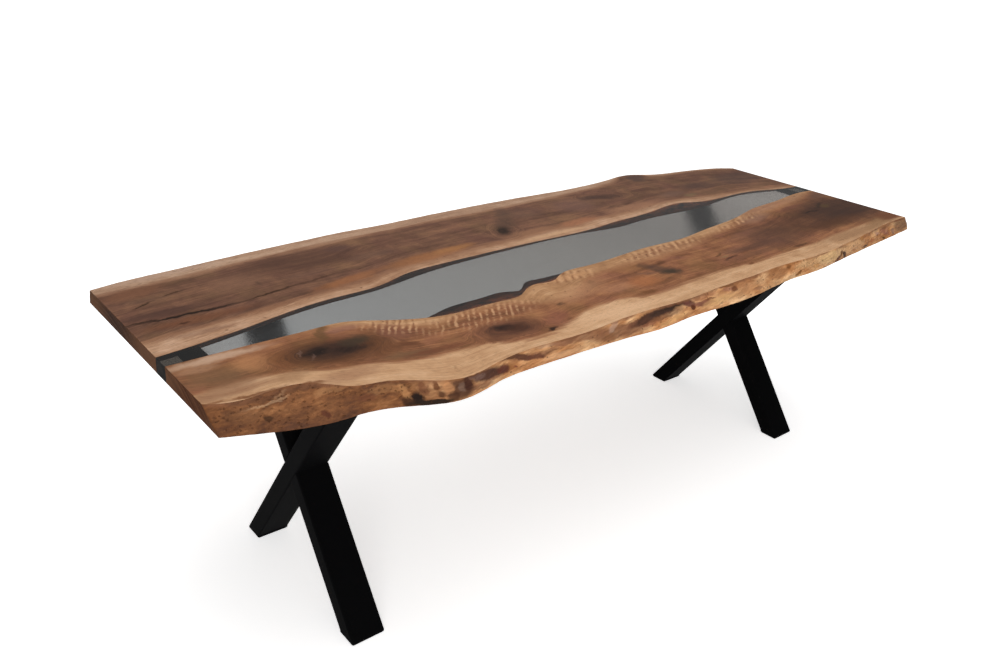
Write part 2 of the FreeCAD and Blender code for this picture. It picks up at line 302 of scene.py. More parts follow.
# %% The front and back board
FRONT_BOARD = {
    "seed": 3.1,                    # another seed gives other grain
    "rim_fade": 9 * MM,             # how softly the outer sapwood ends
    "pins": 0.40,                   # share of the pin knots that are there
    "heart": ("#58351f", "#8b5a3d", "#b17a52"),  # dark, middle and pale
    "sap": ("#ac7f5a", "#cb9f77", "#deb690"),
    "bank_sap": ("#8e6445", "#b3855d", "#d4a87f"),
    "olive": "#8a663c",
    "pinkish": "#99634f",
    "young": "#a06c49",
    "outer_sap": [
        (-1190, -245), (-1050, -246), (-970, -272), (-900, -303), (-840, -316), (-780, -345), (-700, -357),
        (-600, -369), (-500, -400), (-410, -402), (-330, -380), (-250, -350), (-170, -345), (-120, -353),
        (-85, -371), (100, -366), (220, -357), (320, -360), (360, -369), (450, -362), (600, -362),
        (700, -358), (800, -350), (900, -340), (1030, -334), (1100, -338), (1190, -350)],
    "bank_line": [
        (-1190, -85), (-1000, -95), (-850, -105), (-750, -145), (-690, -190), (-600, -230), (-500, -215),
        (-380, -236), (-320, -265), (-250, -280), (-170, -240), (-100, -200), (0, -185), (300, -180),
        (420, -150), (550, -125), (650, -105), (800, -80), (950, -62), (1060, -40), (1190, 0)],
    "knots": [(-885, -215, 75, 36, -8), (-490, -335, 55, 28, -6)],
    "stains": [
        (-1000, -275, 60, 32, 0, .7, "#a27a58"), (-900, -335, 100, 35, 0, .7, "#a97d5d"),
        (-1100, -245, 70, 20, 0, .7, "#8a6347"), (400, -272, 70, 25, 0, .55, "#6b4a3b"),
        (-1120, -200, 95, 52, -5, .85, "#7c5a3e"), (-1090, -121, 150, 21, 0, .9, "#c9a58a"),
        (-1140, -150, 60, 22, 0, .6, "#a98164"), (-1130, -270, 120, 30, 0, .9, "#9c7254"),
        (-1030, -180, 50, 55, 65, .65, "#c0875a"), (-985, -195, 35, 65, 0, .75, "#8a5836"),
        (-860, -228, 190, 82, -14, .9, "#5d3920"), (-800, -135, 60, 20, -10, .55, "#966a58"),
        (-720, -205, 45, 60, 0, .6, "#7c4f3f"), (-740, -325, 95, 22, -14, .7, "#73543a"),
        (-725, -274, 34, 14, -40, .8, "#663d26"), (-875, -215, 105, 54, -8, 1, "#3a241a"),
        (-905, -207, 36, 24, 10, 1, "#1c100a"), (-838, -232, 50, 22, -14, .9, "#26160f"),
        (-812, -203, 44, 28, 0, .7, "#3c3325"), (-850, -128, 60, 17, 65, .8, "#674a2c"),
        (-938, -195, 24, 4.5, 75, .45, "#8c6c5e"), (-926, -224, 20, 4, 60, .4, "#806256"),
        (-690, -335, 100, 16, -6, .8, "#70412a"), (-660, -285, 60, 22, 20, .45, "#9a6548"),
        (-485, -342, 98, 54, 0, .95, "#5f3a2a"), (-498, -328, 38, 21, -20, 1, "#24140e"),
        (-468, -342, 46, 30, -10, .8, "#452719"), (-402, -391, 20, 8, 0, 1, "#2f190f"),
        (-360, -345, 60, 35, 30, .6, "#8a5440"), (-290, -292, 14, 9, 0, .95, "#553620"),
        (-130, -226, 14, 14, 0, .8, "#6e4a30"), (-50, -354, 40, 14, 0, .85, "#6c4222"),
        (-190, -255, 130, 45, 15, .45, "#be8c68"), (0, -295, 75, 42, 0, .75, "#aa6b42"),
        (100, -255, 68, 34, -58, .9, "#573c2f"), (108, -284, 36, 21, -25, .95, "#3f3225"),
        (45, -262, 50, 10, -20, .5, "#6b4c3e"), (215, -225, 50, 16, -20, .4, "#94604c"),
        (75, -215, 34, 20, 60, .7, "#65442f"), (335, -270, 26, 7, 20, .8, "#54371f"),
        (350, -303, 50, 6, 4, .9, "#4c2d1f"), (340, -288, 22, 6, 5, .6, "#86704c"),
        (500, -275, 140, 24, 4, .85, "#5b3b2c"), (620, -240, 190, 110, 8, .85, "#5e3e30"),
        (450, -318, 160, 18, 0, .7, "#785039"), (250, -349, 320, 8, 0, .55, "#7a4f30"),
        (358, -364, 12, 6, 0, 1, "#784a2b"), (620, -345, 50, 10, 0, .9, "#57351f"),
        (540, -190, 120, 22, 12, .5, "#7f5342"), (950, -200, 370, 125, 3, .9, "#4d3021"),
        (1100, -180, 240, 160, 0, .85, "#402b22"), (930, -270, 200, 40, 3, .7, "#563520"),
        (950, -157, 65, 5.5, -3, 1, "#24150e"), (1040, -128, 55, 10, 25, .75, "#2c2016"),
        (1060, -140, 34, 14, 20, .7, "#5a4528"), (850, -362, 220, 30, 3, .9, "#a67d5a"),
        (1050, -345, 130, 30, 10, .9, "#9a7350"), (1150, -325, 75, 38, 15, .95, "#73462c"),
        (850, -45, 190, 30, 8, .75, "#a2745a"), (950, -45, 70, 14, 10, .6, "#b87f5c"),
        (930, -90, 110, 14, 6, .8, "#754a38"), (1020, -28, 130, 24, 10, .6, "#a07458"),
        (1150, -45, 80, 35, 20, .85, "#6a4c3c"), (785, -386, 28, 4, 3, .7, "#7f5a3a"),
        (720, -105, 110, 34, 10, .6, "#94705c"), (-1165, -296, 30, 8, 0, .9, "#8a5c3a"),
        (-1085, -306, 75, 9, -3, .95, "#7a4b2b"), (-985, -324, 50, 8, -14, .9, "#7f5030"),
        (-200, -400, 190, 30, 0, .7, "#e2b891"), (-100, -290, 70, 35, 0, .5, "#b27e5e"),
        (220, -155, 160, 30, 3, .55, "#94664a"), (-150, -172, 100, 18, 0, .6, "#cc986c"),
        (-705, -425, 10, 8, 30, .55, "#9c7450"), (-708, -421, 4, 3, 0, .8, "#dcb68c")],
    "curl": {
        15: [(-500, -245, 200, 58, 0), (-690, -185, 100, 55, -30)],
        22: [(240, -146, 240, 40, 3), (-150, -165, 120, 45, 0), (640, -98, 200, 24, 10)],
    },
}
BACK_BOARD = {
    "seed": 8.7,
    "rim_fade": 16 * MM,
    "pins": 0.12,
    "heart": ("#523629", "#73503e", "#93694e"),
    "sap": ("#95705a", "#b69176", "#caa98f"),
    "bank_sap": ("#91664a", "#b58b6c", "#d4ad8f"),
    "olive": "#7d5f40",
    "pinkish": "#71493f",
    "young": "#98694b",
    "outer_sap": [
        (-1190, 325), (-1100, 332), (-1000, 338), (-900, 350), (-800, 362), (-700, 370), (-500, 384),
        (-200, 392), (100, 396), (300, 400), (420, 410), (520, 416), (600, 428), (660, 455), (720, 490),
        (770, 470), (810, 425), (900, 405), (1000, 398), (1100, 375), (1190, 340)],
    "bank_line": [
        (-1190, 28), (-1000, 40), (-900, 50), (-800, 64), (-700, 77), (-600, 88), (-500, 110), (-400, 124),
        (-300, 132), (-100, 139), (0, 143), (100, 150), (200, 156), (300, 160), (420, 160), (500, 170),
        (600, 168), (680, 160), (760, 142), (850, 130), (1000, 120), (1100, 100), (1190, 75)],
    "knots": [(-60, 215, 42, 28, 55), (455, 322, 65, 30, -15)],
    "stains": [
        (100, 320, 90, 60, 0, .5, "#664a40"), (300, 300, 110, 85, 0, .55, "#7e5c4f"),
        (700, 225, 80, 35, 0, .55, "#7b5d4e"), (-500, 240, 90, 30, 0, .55, "#644a3e"),
        (-700, 205, 90, 25, 0, .6, "#64473b"), (-900, 135, 90, 20, 8, .5, "#5c4031"),
        (-1100, 245, 80, 20, 0, .5, "#674a3c"), (-880, 245, 110, 60, 10, .7, "#85604a"),
        (-1110, 300, 110, 40, 10, .8, "#80563e"), (-670, 290, 240, 85, 0, .8, "#573a2e"),
        (-550, 330, 60, 30, 0, .5, "#5a403a"), (-1040, 85, 170, 26, 1, .75, "#764a32"),
        (-1070, 80, 22, 6, 0, .9, "#442718"), (-1090, 155, 130, 26, 0, .75, "#553a30"),
        (-1045, 120, 165, 7.5, -1, 1, "#221208"), (-1150, 128, 50, 5, 0, .9, "#352014"),
        (-840, 136, 95, 7, 12, 1, "#38210f"), (-715, 158, 110, 6.5, 10, .75, "#4a2f20"),
        (-1115, 220, 45, 5, 28, 1, "#3a2414"), (-1035, 256, 40, 4.2, 12, .95, "#44291a"),
        (-840, 205, 12, 20, 0, .5, "#4e382c"), (-640, 114, 130, 26, 10, .65, "#a56b42"),
        (-380, 150, 190, 34, 6, .75, "#a06a42"), (-280, 165, 90, 20, 5, .6, "#ab7648"),
        (20, 165, 130, 30, 0, .65, "#a07355"), (200, 165, 100, 28, 3, .85, "#a56f50"),
        (470, 189, 170, 32, 2, .75, "#a5775b"), (315, 185, 22, 8, 0, .8, "#694637"),
        (-10, 275, 110, 45, 50, .7, "#564034"), (-60, 213, 48, 30, 55, 1, "#2c1f17"),
        (50, 360, 65, 32, 60, .6, "#5b4438"), (455, 320, 90, 36, -15, .85, "#4a342c"),
        (400, 337, 50, 25, 0, .55, "#563e35"), (735, 435, 58, 52, 60, .85, "#543f38"),
        (870, 250, 110, 50, -10, .65, "#4e3a33"), (750, 182, 42, 20, 0, .5, "#857050"),
        (1080, 250, 150, 85, 0, .75, "#543f38"), (1090, 112, 45, 15, 0, .6, "#a57256"),
        (-1060, 14, 100, 18, 0, .6, "#94705a"), (50, 113, 200, 16, 2, .65, "#d2a983"),
        (500, 149, 90, 12, 3, .5, "#98735a"), (-1000, 385, 200, 22, 5, .6, "#c4a48e")],
    "curl": {},
}

print("stains:", len(FRONT_BOARD["stains"]), "in front and", len(BACK_BOARD["stains"]), "at the back")

# %% [markdown]
# ## Walnut, step five: stains, knots and curl
#
# Each stain is laid over the wood by its oval, a little broken up by the streaks. A knot's rings
# get darker arcs. Curly figure is made of slanted ripples, 15 mm apart at the left and 22 mm
# further right, with a painted highlight on their crests and painted shade in their troughs.

# %% Stains, knots and curl
CURL_SLANT = math.radians(34)


def lay_stains(tree, colour, board, rough, tone, knots):
    for *oval, strength, code in board["stains"]:
        inside, reach = soft_oval(tree, rough, oval, 0.30, 1.12)
        broken = node(tree, "MapRange", {0: tone, 3: 1.12 * strength, 4: 0.78 * strength})
        amount = node(tree, "Math", {0: inside, 1: broken}, operation="MULTIPLY")
        colour = node(tree, "Mix", {0: amount, 6: colour, 7: code}, **OVERLAY)
    for near, reach in knots:
        turns = node(tree, "Math", {0: reach, 1: 8.0}, operation="MULTIPLY")
        arcs = node(tree, "TexNoise", {"W": turns, "Scale": 1, "Detail": 2}, noise_dimensions="1D")
        arcs = node(tree, "MapRange", {0: arcs, 1: 0.48, 2: 0.66, 4: 0.6})
        arcs = node(tree, "Math", {0: arcs, 1: near}, operation="MULTIPLY")
        colour = node(tree, "Mix", {0: arcs, 6: colour, 7: "#3f2a20"}, **OVERLAY)
    return colour


def lay_curl(tree, colour, board, place, swayed):
    for pitch, ovals in board["curl"].items():
        patch = None
        for oval in ovals:
            inside, reach = soft_oval(tree, swayed, oval, 0.35, 1.1)
            patch = inside if patch is None else node(tree, "Math", {0: patch, 1: inside},
                                                      operation="MAXIMUM")
        bent = node(tree, "VectorMath", {0: centred_noise(tree, place, 24, 3), 1: (.020, .010, 0), 2: place},
                    operation="MULTIPLY_ADD")
        slant = node(tree, "VectorRotate", {"Vector": bent, "Angle": CURL_SLANT}, rotation_type="Z_AXIS")
        ripple = node(tree, "TexWave", {"Vector": slant, "Scale": math.tau / (20 * pitch * MM)}, give=1)
        broken = node(tree, "TexNoise", {"Vector": slant, "Scale": 42, "Detail": 3})
        broken = node(tree, "MapRange", {0: broken, 1: 0.40, 2: 0.60})
        # Painted highlight on the ripple crests and painted shade in the troughs, as curly wood catches the
        # light.
        crest_highlight = node(tree, "MapRange", {0: ripple, 1: 0.45, 2: 0.95, 4: 0.75})
        trough_shade = node(tree, "MapRange", {0: ripple, 1: 0.35, 2: 0.0, 4: 0.70})
        for share, code in ((crest_highlight, "#d6a67c"), (trough_shade, "#7e4d33")):
            share = node(tree, "Math", {0: share, 1: broken}, operation="MULTIPLY")
            share = node(tree, "Math", {0: share, 1: patch}, operation="MULTIPLY")
            colour = node(tree, "Mix", {0: share, 6: colour, 7: code}, **OVERLAY)
    return colour


# %% [markdown]
# ## Walnut, step six: pin knots, pores and the finished face
#
# Pin knots are brown dots a few millimetres across that twigs left in the pale wood beside the
# river. The face is oiled and sealed, so it is satin: a soft sheen, with the open pores still
# showing. The pores are real dashes 0.2 mm wide, drawn 1 mm wide so that they show at this
# distance.

# %% Walnut face material
PIN_SPACING = 34 * MM
PORES_ALONG, PORES_ACROSS = 70, 900             # per metre


def lay_pins(tree, colour, board, swayed, by_bank):
    cells = node(tree, "TexVoronoi", {"Vector": swayed, "Scale": 1 / PIN_SPACING},
                 voronoi_dimensions="2D").node
    chosen = node(tree, "SeparateXYZ", {0: cells.outputs["Color"]}, give=0)
    chosen = node(tree, "Math", {0: chosen, 1: board["pins"]}, operation="LESS_THAN")
    chosen = node(tree, "Math", {0: chosen, 1: by_bank}, operation="SUBTRACT", use_clamp=True)
    pins = node(tree, "MapRange", {0: cells.outputs["Distance"], 1: 0.04, 2: 0.11, 3: 0.75, 4: 0})
    pins = node(tree, "Math", {0: pins, 1: chosen}, operation="MULTIPLY")
    return node(tree, "Mix", {0: pins, 6: colour, 7: "#57351f"}, **OVERLAY)


def walnut_face(name, board):
    material, tree, shader = new_material(name, Roughness=0.42, IOR=1.5, Specular_IOR_Level=0.13)
    place = node(tree, "TexCoord", {}, give="Object")
    across = node(tree, "SeparateXYZ", {0: node(tree, "UVMap", {}, uv_map="grain")}, give=1)
    swayed = node(tree, "VectorMath", {0: centred_noise(tree, place, 14, 3), 1: (.05, .022, 0), 2: place},
                  operation="MULTIPLY_ADD")
    rough = node(tree, "VectorMath", {0: centred_noise(tree, place, 70, 4), 1: (.030, .014, 0), 2: swayed},
                 operation="MULTIPLY_ADD")
    x = node(tree, "SeparateXYZ", {0: place}, give=0)
    y = node(tree, "SeparateXYZ", {0: place}, give=1)

    ring, knots = ring_coordinate(tree, swayed, across, board)
    bands, rings, lines = streaks(tree, x, ring, board["seed"])
    cloud = node(tree, "TexNoise", {"Vector": rough, "Scale": 17, "Detail": 6, "Roughness": 0.62})
    tone = node(tree, "Mix", {0: 0.42, 2: bands, 3: rings})
    tone = node(tree, "Mix", {0: 0.38, 2: tone, 3: lines})
    tone = node(tree, "Mix", {0: 0.30, 2: tone, 3: cloud})
    tone = node(tree, "MapRange", {0: tone, 1: 0.38, 2: 0.62})

    colour, by_bank = heart_and_sap(tree, board, x, y, swayed, tone, rings)
    colour = lay_stains(tree, colour, board, rough, tone, knots)
    colour = lay_curl(tree, colour, board, place, swayed)
    colour = lay_pins(tree, colour, board, swayed, by_bank)
    dashes = node(tree, "CombineXYZ", {
        0: node(tree, "Math", {0: x, 1: PORES_ALONG}, operation="MULTIPLY"),
        1: node(tree, "Math", {0: ring, 1: PORES_ACROSS}, operation="MULTIPLY"), 2: board["seed"]})
    pores = node(tree, "TexNoise", {"Vector": dashes, "Scale": 1, "Detail": 0})
    pores = node(tree, "MapRange", {0: pores, 1: 0.58, 2: 0.76, 4: 0.36})
    colour = node(tree, "Mix", {0: pores, 6: colour, 7: "#2f1f18"}, **OVERLAY)

    tree.links.new(colour, shader.inputs["Base Color"])
    bump = node(tree, "Bump", {"Height": pores, "Strength": 0.2, "Distance": 0.3 * MM}, invert=True)
    tree.links.new(bump, shader.inputs["Normal"])
    return material


front_face = walnut_face("walnut_front_satin", FRONT_BOARD)
back_face = walnut_face("walnut_back_satin", BACK_BOARD)
print("walnut faces:", len(front_face.node_tree.nodes), "and", len(back_face.node_tree.nodes), "nodes")

# %% [markdown]
# ## The waney edge
#
# The bark is stripped off and the outer edge is brushed, so it is a mix of three things: smooth
# golden wood in soft patches, a pitted brown zone where the edge slopes wide at the left end,
# and long scraps of dark inner bark that lie slantwise in the hollows. A scrap is a soft oval
# on the edge, seen square on: place along the table, height, half sizes, tilt, strength and
# colour. Pale ones are bare wood between the scraps.

# %% Scraps of bark on the two outer edges
FRONT_SCRAPS = [
    (-255, 739, 90, 13, -2, .8, "#7c523b"), (-728, 742, 32, 18, 0, .95, "#543626"),
    (-60, 753, 85, 6, 3, .6, "#5e3c2a"), (-520, 746, 60, 6, -6, .6, "#7e523c"),
    (1150, 744, 50, 18, 0, .85, "#7a573e"), (220, 744, 110, 16, 0, .55, "#a8744b"),
    (655, 744, 65, 15, 0, .75, "#f2c892"), (230, 754, 50, 7.5, 0, .8, "#925d38"),
    (790, 744, 80, 15, 0, .75, "#e2b181"), (-680, 733.5, 40, 5, -6, .7, "#7a523a"),
    (-1080, 750, 45, 1.6, 2, .5, "#b8926e"), (-1045, 755, 20, 1.4, 5, .35, "#b08a66"),
    (-1110, 756.5, 45, 2.6, -3, .7, "#5e3a22"), (-1005, 756, 40, 2.6, 3, .7, "#5e3a22"),
    (-1093, 736.5, 7, 3, 0, .9, "#48290f"), (-1130, 744, 30, 10, 0, .4, "#7a5234"),
    (-990, 730, 7, 3.5, 0, .9, "#552a16"), (-905, 741.5, 18, 5, 0, .8, "#6b3e25"),
    (-960, 753, 30, 3, 10, .6, "#9f7048"), (-860, 750, 40, 6, 0, .5, "#a06f45"),
    (-832, 743, 8, 12, 0, .7, "#b07c4e"), (-815, 733, 13, 9.5, 15, 1, "#1d0d05"),
    (-835, 729, 12, 6, 0, .9, "#3a200f"), (-790, 726.5, 45, 4.2, 0, 1, "#241408"),
    (-797, 748, 8, 10, 0, .8, "#70432a"), (-775, 751, 7, 8, 0, .9, "#65391d"),
    (-754, 747, 10, 10, 0, .7, "#bd8558"), (-770, 737, 8, 5, 0, .8, "#4a2a16"),
    (-748, 733, 10, 7.5, 0, .8, "#4a2c1c"), (-725, 744, 10, 8.5, 0, .6, "#7b6152"),
    (-712, 748, 10, 14, -10, .95, "#43251a"), (-690, 756, 12, 4, 0, .9, "#5a382a"),
    (-650, 747.5, 54, 10.5, -7, 1, "#543528"), (-682, 752, 20, 5, -6, .7, "#71564c"),
    (-605, 743, 16, 8, -10, .9, "#623326"), (-655, 737, 45, 3, -5, .5, "#8e5a3f"),
    (-580, 759, 28, 4.2, -3, .95, "#523520"), (-545, 750, 30, 6, -14, .95, "#603d2c"),
    (-508, 742, 28, 5, -10, .9, "#653e2e"), (-465, 745, 20, 4, 5, .7, "#7a5038"),
    (-570, 738, 5, 2.2, 0, .8, "#8a4a38"), (-470, 756, 25, 4, 0, .5, "#c09a7c"),
    (-425, 754, 35, 6.5, 0, .8, "#8b5d44"), (-350, 752, 60, 8, 0, .8, "#87593e"),
    (-380, 759, 60, 3, 0, .8, "#7c5034"), (-430, 731, 60, 6, 0, .7, "#dca97c"),
    (-265, 753, 22, 6, 25, .7, "#b8927a"), (-290, 736, 20, 8, 0, .7, "#8a5c3c"),
    (-195, 744, 35, 5.5, 6, .9, "#774c36"), (-225, 758, 30, 3, 0, .6, "#9a6c4a"),
    (-150, 747, 55, 8, 7, 1, "#513325"), (-150, 737, 35, 3.5, 3, .7, "#7e4b35"),
    (-95, 751.5, 50, 6.5, 3, 1, "#3f2a20"), (-55, 757, 45, 4.8, 2, 1, "#342217"),
    (-10, 757, 20, 6, -10, .9, "#4c2d22"), (-85, 743, 55, 5, 3, .75, "#6b4630"),
    (-70, 731, 55, 5, 4, .7, "#d9a56e"), (0, 750, 22, 6.5, -15, .9, "#663c34"),
    (10, 740, 9, 6, 0, .95, "#522817"), (52, 742, 36, 5.5, -4, .85, "#7b493d"),
    (60, 754, 50, 5, 0, .7, "#a26a4a"), (80, 745.5, 22, 2, -3, .8, "#643723"),
    (110, 738, 60, 6.5, 0, .6, "#d0a06a"), (165, 759, 35, 3.6, 0, .9, "#6a4122"),
    (160, 752, 22, 4, 0, .6, "#8b5b4c"), (183, 749, 14, 5, 10, .9, "#673a23"),
    (210, 757, 16, 3, 0, .7, "#90603a"), (230, 742, 30, 10, 0, .5, "#c28b60"),
    (285, 759, 22, 4, 0, .8, "#93623a"), (280, 734, 22, 3, -4, .5, "#7a5642"),
    (385, 747, 50, 11, 0, .85, "#9d6942"), (400, 759, 30, 3, 0, .6, "#966742"),
    (447, 752, 9, 5, 0, .9, "#885730"), (482, 730.5, 18, 4, 15, .9, "#855526"),
    (540, 747, 60, 9, 0, .5, "#cda172"), (568, 735, 18, 6, 0, .6, "#c38a50"),
    (625, 745, 30, 10, 0, .5, "#c89d6c"), (670, 748, 9, 11, 0, .8, "#dcb07c"),
    (692, 748, 7, 8, 0, .5, "#cfa27a"), (692, 730, 20, 5.5, 20, .95, "#653a28"),
    (718, 740, 12, 6, 35, .9, "#74461f"), (738, 733, 13, 8, -40, 1, "#46260b"),
    (740, 755, 20, 4, 0, .6, "#a87a56"), (810, 740, 35, 9, 0, .5, "#c3926a"),
    (800, 733.5, 12, 4, 0, .6, "#b8774a"), (862, 754, 14, 5, 0, .8, "#a57040"),
    (878, 729, 18, 3, 0, .95, "#573925"), (915, 755, 30, 4, 0, .7, "#986745"),
    (928, 736, 14, 5.5, 0, .7, "#a35b38"), (973, 748, 18, 5, -10, .8, "#c5957a"),
    (1030, 742, 30, 8.5, -15, .75, "#a06954"), (1050, 754, 40, 6, 0, .7, "#83593f"),
    (1045, 744, 14, 5, 10, .6, "#b88462"), (1010, 728, 10, 3, 0, .9, "#543a1c"),
    (1085, 735, 12, 8, 0, .7, "#84655a"), (1120, 738, 25, 6, 10, .5, "#9a6c4e"),
    (1140, 759, 35, 4, 0, .7, "#784c34"), (1170, 735, 10, 6, 0, .6, "#8a6248")]
BACK_SCRAPS = [
    (-1080, 752, 60, 5, -4, .8, "#7a4f35"), (-1020, 741, 60, 6, 6, .8, "#5d3f2d"),
    (-860, 754, 70, 5, 0, .7, "#8f6347"), (-830, 735, 30, 6, 12, .8, "#6e4530"),
    (-700, 750, 100, 6, -5, .95, "#452c20"), (-660, 741, 60, 4, -3, .7, "#7e4b35"),
    (-520, 752, 20, 10, 0, .6, "#b8927a"), (-430, 736, 60, 7, 8, .9, "#603c2c"),
    (-400, 752, 55, 5, 3, .6, "#a26a4a"), (-270, 738, 14, 9, 10, .8, "#75462a"),
    (-120, 750, 90, 6, -7, .95, "#4c3024"), (-80, 742, 45, 4, -4, .7, "#7b493d"),
    (60, 744, 50, 9, 0, .5, "#cda172"), (160, 742, 65, 8, 4, .7, "#8a5c40"),
    (280, 752, 35, 4, 0, .8, "#6a4122"), (440, 753, 70, 5, -6, .95, "#4a2f22"),
    (470, 738, 22, 6, 20, .8, "#855526"), (570, 746, 12, 11, 0, .7, "#dcb07c"),
    (690, 740, 50, 9, 9, .95, "#3d261b"), (740, 751, 45, 5, 4, .7, "#71564c"),
    (860, 745, 40, 9, 0, .5, "#c3926a"), (970, 748, 60, 6, -4, .8, "#74492f"),
    (1080, 738, 30, 7, 15, .7, "#a06954")]

print("scraps of bark:", len(FRONT_SCRAPS), "at the front and", len(BACK_SCRAPS), "at the back")

# %% [markdown]
# ## The edge's wood and its scraps
#
# Fibres run through all of it, tilted a few degrees. Both woods are colour ramps on the same
# lumps, about 80 mm long and 40 mm high, and the golden one turns into the brown one over
# 100 mm. A band just under the upper rim is darker in places, as painted shade. The pits are
# about 4 mm wide.

# %% Waney edge material
PIT_SPACING = 7 * MM
underside, table_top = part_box("front_slab")[0].z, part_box("front_slab")[1].z
# Heights of the painted shade band just under the upper rim.
RIM_SHADE_FROM, RIM_SHADE_TO = table_top - 6 * MM, table_top - 1 * MM


def edge_wood(tree, place, torn, x, brown_until):
    """Golden wood, brown up to one place along the table.

    Also returns its tone, its lumps, its fibres and the share of brown.
    """
    stretched = node(tree, "Mapping", {"Vector": place, "Scale": (0.5, 1, 1)})
    lumps = node(tree, "TexNoise", {"Vector": stretched, "Scale": 24, "Detail": 3, "Roughness": 0.5})
    fine = node(tree, "TexNoise", {"Vector": stretched, "Scale": 150, "Detail": 4, "Roughness": 0.6})
    slant = node(tree, "VectorRotate", {"Vector": torn, "Angle": math.radians(7)}, rotation_type="Y_AXIS")
    slant = node(tree, "Mapping", {"Vector": slant, "Scale": (26, 10, 260)})
    fibre = node(tree, "TexNoise", {"Vector": slant, "Scale": 1, "Detail": 3, "Roughness": 0.6})
    tone = node(tree, "Mix", {0: 0.15, 2: lumps, 3: fibre})
    golden = node(tree, "ValToRGB", {0: tone}, stops=[
        (0.35, "#a56b3f"), (0.66, "#ecbe8e"), (0.44, "#c18657"), (0.54, "#d5a070")])
    rough_tone = node(tree, "Mix", {0: 0.30, 2: tone, 3: fine})
    brown = node(tree, "ValToRGB", {0: rough_tone}, stops=[
        (0.38, "#573420"), (0.64, "#97663f"), (0.46, "#6c4225"), (0.55, "#80512e")])
    into_brown = node(tree, "MapRange", {0: x, 1: brown_until - 60 * MM, 2: brown_until + 40 * MM,
                                         3: 1, 4: 0})
    colour = node(tree, "Mix", {0: into_brown, 6: golden, 7: brown}, **OVERLAY)
    return colour, tone, lumps, fibre, into_brown


def waney_edge(name, brown_until, scraps):
    """Brushed edge with bark scraps and pits."""
    material, tree, shader = new_material(name, Roughness=0.6, IOR=1.5, Specular_IOR_Level=0.15)
    place = node(tree, "TexCoord", {}, give="Object")
    torn = node(tree, "VectorMath", {0: centred_noise(tree, place, 55, 3), 1: (.020, .010, .008), 2: place},
                operation="MULTIPLY_ADD")
    split = node(tree, "SeparateXYZ", {0: torn}).node
    x, z = split.outputs[0], split.outputs[2]
    colour, tone, lumps, fibre, into_brown = edge_wood(tree, place, torn, x, brown_until)

    side_on = node(tree, "CombineXYZ", {0: x, 1: z})
    streaky = node(tree, "MapRange", {0: fibre, 1: 0.35, 2: 0.65, 3: 0.84, 4: 1.18})
    for *oval, strength, code in scraps:
        inside, reach = soft_oval(tree, side_on, oval, 0.65, 1.35)
        amount = node(tree, "Math", {0: inside, 1: strength}, operation="MULTIPLY")
        colour = node(tree, "Mix", {0: amount, 6: colour, 7: code}, **OVERLAY)
    colour = node(tree, "VectorMath", {0: colour, "Scale": streaky}, operation="SCALE")
    bright = node(tree, "RGBToBW", {0: colour})

    cells = node(tree, "TexVoronoi", {"Vector": torn, "Scale": 1 / PIT_SPACING}).node
    often = node(tree, "MapRange", {0: into_brown, 3: 0.07, 4: 0.30})
    chosen = node(tree, "SeparateXYZ", {0: cells.outputs["Color"]}, give=1)
    chosen = node(tree, "Math", {0: chosen, 1: often}, operation="LESS_THAN")
    pits = node(tree, "MapRange", {0: cells.outputs["Distance"], 1: 0.10, 2: 0.45, 3: 0.65, 4: 0})
    pits = node(tree, "Math", {0: pits, 1: chosen}, operation="MULTIPLY")
    colour = node(tree, "Mix", {0: pits, 6: colour, 7: "#4c2d18"}, **OVERLAY)
    # Painted shade: a band just under the upper rim, darker in places.
    rim = node(tree, "MapRange", {0: z, 1: RIM_SHADE_FROM, 2: RIM_SHADE_TO, 3: 0, 4: 0.9})
    in_places = node(tree, "MapRange", {0: lumps, 1: 0.4, 2: 0.6})
    rim = node(tree, "Math", {0: rim, 1: in_places}, operation="MULTIPLY")
    colour = node(tree, "Mix", {0: rim, 6: colour, 7: "#80543a"}, **OVERLAY)

    tree.links.new(colour, shader.inputs["Base Color"])
    height = node(tree, "Math", {0: bright, 1: 0.8, 2: tone}, operation="MULTIPLY_ADD")
    height = node(tree, "Math", {0: pits, 1: -0.4, 2: height}, operation="MULTIPLY_ADD")
    bump = node(tree, "Bump", {"Height": height, "Strength": 1.0, "Distance": 6 * MM})
    tree.links.new(bump, shader.inputs["Normal"])
    return material


front_edge = waney_edge("brushed_live_edge_front", -0.76, FRONT_SCRAPS)
back_edge = waney_edge("brushed_live_edge_back", -1.30, BACK_SCRAPS)
print("edges:", len(front_edge.node_tree.nodes), "and", len(back_edge.node_tree.nodes), "nodes")

# %% [markdown]
# ## Sawn ends, routed grooves and the bank under the resin
#
# The ends are sawn across the tree. They show ring arcs about 6 mm wide round the pith, and
# look darker than the faces, because end grain drinks more oil. It is rough and scatters the
# light, so it has almost no sheen. Towards both sides of a board the arcs turn paler, into the
# sapwood. The river banks are the other waney edge of each board, with red-brown inner bark
# left on, wetted by the resin.

